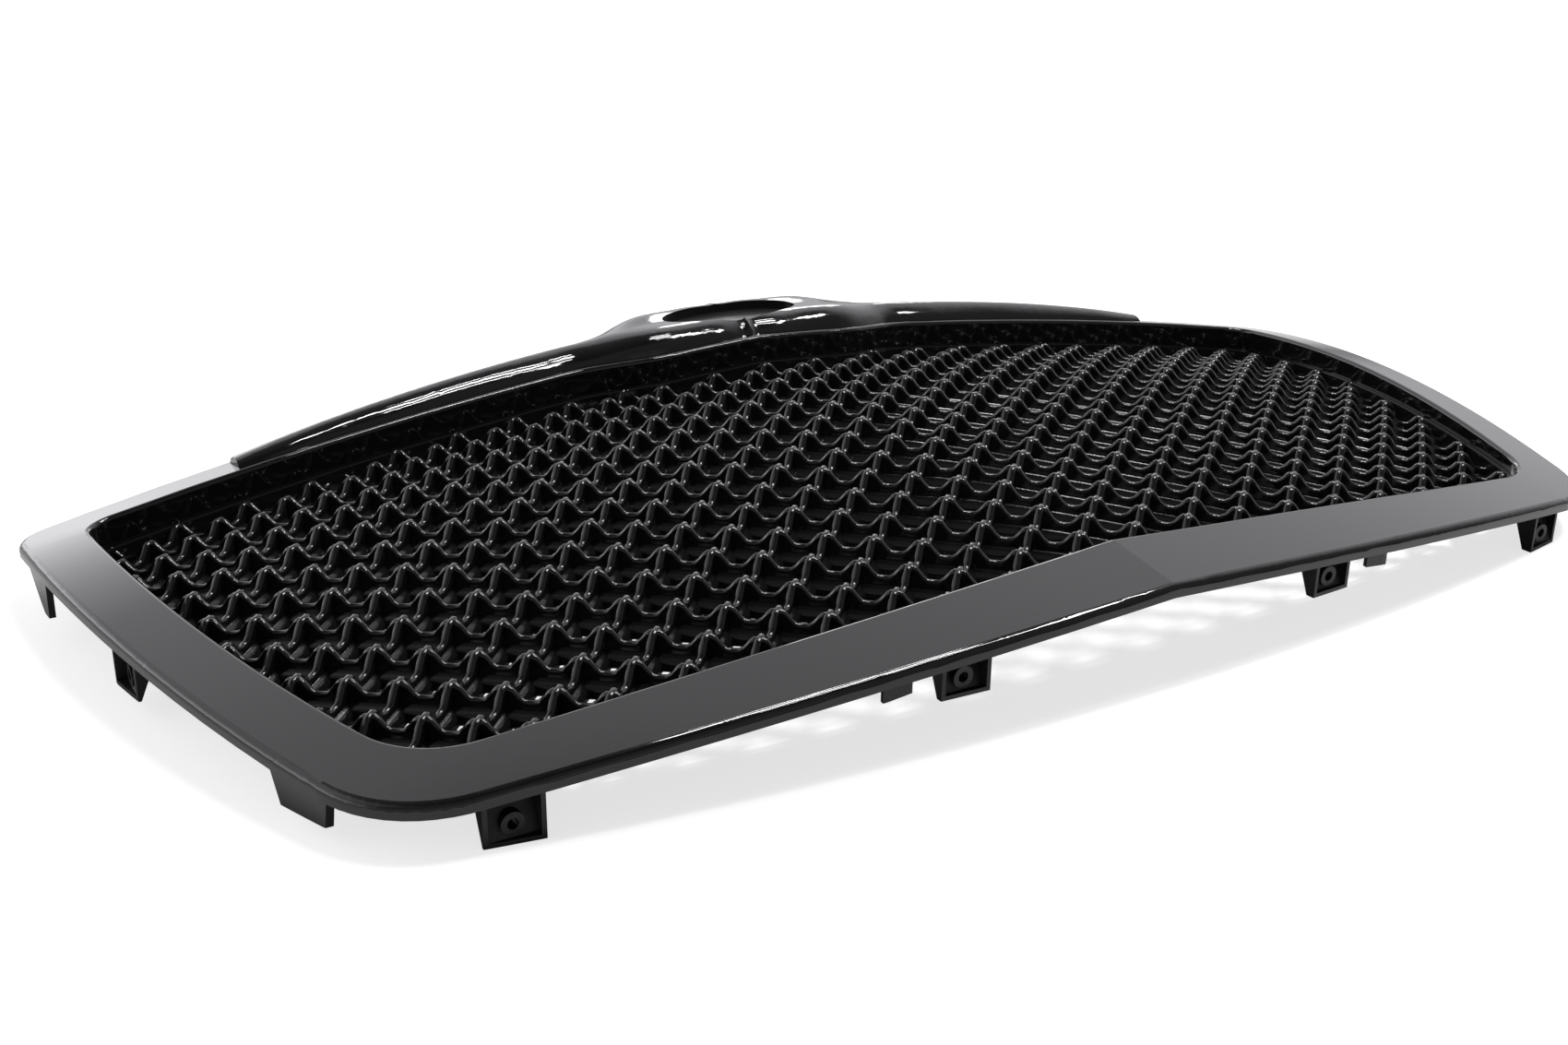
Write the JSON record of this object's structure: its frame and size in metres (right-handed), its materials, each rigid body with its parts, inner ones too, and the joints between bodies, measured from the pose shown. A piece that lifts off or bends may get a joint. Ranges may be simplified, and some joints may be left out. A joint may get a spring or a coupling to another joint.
{
  "type": "front grille",
  "caption": "Front grille for a large car: gloss surround with a V-creased face, deep wavy diamond mesh, winged emblem moulding with an empty oval recess, and box brackets.",
  "frame": {"origin": "on the floor that the grille lies on, in the middle of its width and of its height", "axes": "+Z the way the grille faces (it lies on its back), +Y the grille's own up, towards the emblem moulding, +X to the side"},
  "size_m": [0.7636, 0.392, 0.079],
  "materials": {
    "gloss_black": "gloss",
    "mesh_black": "satin",
    "satin_black": "satin",
    "screw_steel": "satin"
  },
  "bodies": {
    "root": {"surround": "gloss_black", "mesh_insert": "mesh_black", "mesh_screws": "screw_steel", "emblem_moulding": "gloss_black", "emblem_plate": "satin_black", "moulding_screws": "screw_steel", "bracket_lower_inner_right": "satin_black", "bracket_lower_inner_left": "satin_black", "bracket_lower_outer_right": "satin_black", "bracket_lower_outer_left": "satin_black", "bracket_side_right": "satin_black", "bracket_side_left": "satin_black", "bracket_upper_right": "satin_black", "bracket_upper_left": "satin_black", "locating_tab_right": "satin_black", "locating_tab_left": "satin_black"}
  },
  "joints": []
}
